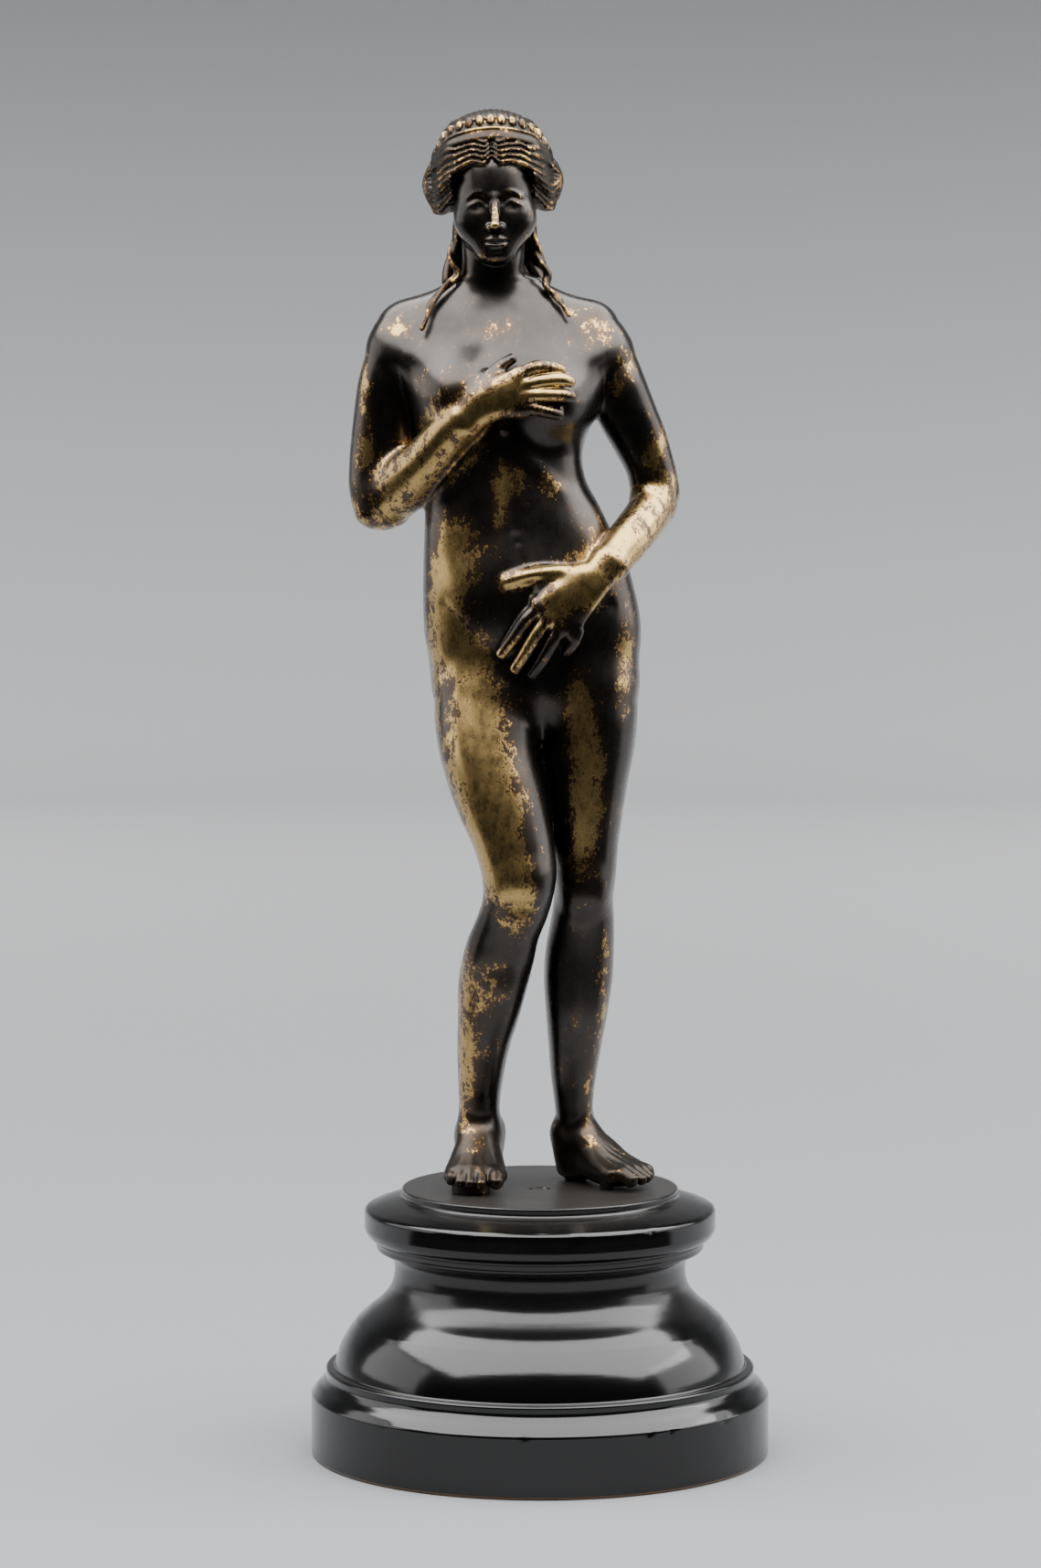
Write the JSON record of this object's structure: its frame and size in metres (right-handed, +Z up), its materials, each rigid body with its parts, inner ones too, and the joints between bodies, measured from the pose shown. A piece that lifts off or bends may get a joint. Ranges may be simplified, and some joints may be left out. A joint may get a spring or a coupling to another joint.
{
  "type": "venus statuette",
  "caption": "Cast bronze figure of a standing nude Venus with waved hair and a beaded diadem, one hand at the breast and one before the lap, on a round turned and blackened wooden socle.",
  "frame": {"origin": "centre of the socle's underside, on the surface it stands on", "axes": "+Z up along the turned axis, the figure faces -Y, +X to the figure's left and the viewer's right"},
  "size_m": [0.12, 0.12, 0.3502],
  "materials": {
    "bronze": "black-brown lacquer patina worn to bright metal on the high places",
    "ebonised_wood": "blackened and polished",
    "filler": "dull"
  },
  "bodies": {
    "root": {"venus_figure": "bronze", "socle": "ebonised_wood", "socle_plug": "filler"}
  },
  "joints": []
}
